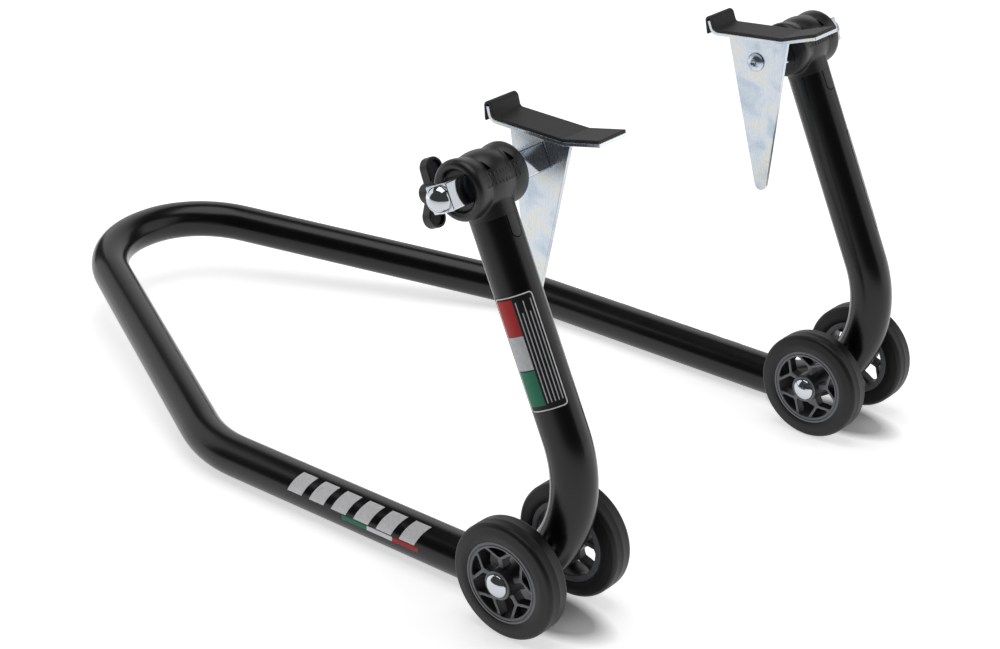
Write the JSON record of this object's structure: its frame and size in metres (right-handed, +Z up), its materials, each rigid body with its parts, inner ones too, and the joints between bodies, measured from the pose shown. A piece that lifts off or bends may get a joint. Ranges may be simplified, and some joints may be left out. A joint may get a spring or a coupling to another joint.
{
  "type": "motorcycle rear paddock stand",
  "caption": "Rear paddock stand: one bent black tube on paired wheels, with sliding bars that carry swinging rubber-topped lifting supports.",
  "frame": {"origin": "on the floor, half way along the stand, in its plane of symmetry", "axes": "+X forwards from the handle to the wheels, +Y to the left, +Z up"},
  "size_m": [0.791, 0.5654, 0.3978],
  "materials": {
    "tube_paint": "satin",
    "moulded_black": "matte",
    "tyre_rubber": "matte",
    "rim_plastic": "matte",
    "chrome": "polished",
    "zinc": "bright zinc plated",
    "pad_rubber": "matte",
    "brass": "plain",
    "bush_steel": "plain",
    "sticker": "gloss",
    "arm_print": "gloss"
  },
  "bodies": {
    "frame": {"frame_tube": "tube_paint", "left_clamp_head": "moulded_black", "left_clamp_insert": "brass", "left_axle": "bush_steel", "left_axle_caps": "chrome", "left_spacers": "bush_steel", "left_upright_label": "sticker", "left_arm_marks": "arm_print", "right_clamp_head": "moulded_black", "right_clamp_insert": "brass", "right_axle": "bush_steel", "right_axle_caps": "chrome", "right_spacers": "bush_steel", "right_upright_label": "sticker", "right_arm_marks": "arm_print"},
    "left_outer_wheel": {"left_outer_rim": "rim_plastic", "left_outer_tyre": "tyre_rubber", "left_outer_bush": "bush_steel"},
    "left_inner_wheel": {"left_inner_rim": "rim_plastic", "left_inner_tyre": "tyre_rubber", "left_inner_bush": "bush_steel"},
    "right_outer_wheel": {"right_outer_rim": "rim_plastic", "right_outer_tyre": "tyre_rubber", "right_outer_bush": "bush_steel"},
    "right_inner_wheel": {"right_inner_rim": "rim_plastic", "right_inner_tyre": "tyre_rubber", "right_inner_bush": "bush_steel"},
    "left_bar_group": {"left_bar": "chrome", "left_bar_bolt": "zinc", "left_bar_nut": "chrome"},
    "left_support": {"left_plate": "zinc", "left_cradle": "zinc", "left_pad": "pad_rubber"},
    "left_clamp_screw": {"left_wing": "moulded_black", "left_stud": "bush_steel"},
    "right_bar_group": {"right_bar": "chrome", "right_bar_bolt": "zinc", "right_bar_nut": "chrome"},
    "right_support": {"right_plate": "zinc", "right_cradle": "zinc", "right_pad": "pad_rubber"},
    "right_clamp_screw": {"right_wing": "moulded_black", "right_stud": "bush_steel"}
  },
  "joints": [
    {"name": "left_outer_wheel_turn", "type": "hinge", "parent": "frame", "child": "left_outer_wheel", "pos_m": [0.3455, 0.2608, 0.05], "axis": [0, 1, 0], "continuous": true},
    {"name": "left_inner_wheel_turn", "type": "hinge", "parent": "frame", "child": "left_inner_wheel", "pos_m": [0.3455, 0.1792, 0.05], "axis": [0, 1, 0], "continuous": true},
    {"name": "right_outer_wheel_turn", "type": "hinge", "parent": "frame", "child": "right_outer_wheel", "pos_m": [0.3455, -0.2608, 0.05], "axis": [0, 1, 0], "continuous": true},
    {"name": "right_inner_wheel_turn", "type": "hinge", "parent": "frame", "child": "right_inner_wheel", "pos_m": [0.3455, -0.1792, 0.05], "axis": [0, 1, 0], "continuous": true},
    {"name": "left_bar_slide", "type": "slide", "parent": "frame", "child": "left_bar_group", "axis": [0, 1, 0], "range_m": [-0.017, 0.02]},
    {"name": "left_support_swing", "type": "hinge", "parent": "left_bar_group", "child": "left_support", "pos_m": [0.28287, 0.152, 0.3555], "axis": [0, -1, 0], "continuous": true},
    {"name": "left_clamp_screw_turn", "type": "hinge", "parent": "frame", "child": "left_clamp_screw", "pos_m": [0.23309, 0.22, 0.33333], "axis": [-0.9135, 0, -0.4067], "range_deg": [-180, 180]},
    {"name": "right_bar_slide", "type": "slide", "parent": "frame", "child": "right_bar_group", "axis": [0, -1, 0], "range_m": [-0.017, 0.02]},
    {"name": "right_support_swing", "type": "hinge", "parent": "right_bar_group", "child": "right_support", "pos_m": [0.28287, -0.152, 0.3555], "axis": [0, -1, 0], "continuous": true},
    {"name": "right_clamp_screw_turn", "type": "hinge", "parent": "frame", "child": "right_clamp_screw", "pos_m": [0.23309, -0.22, 0.33333], "axis": [-0.9135, 0, -0.4067], "range_deg": [-180, 180]}
  ]
}
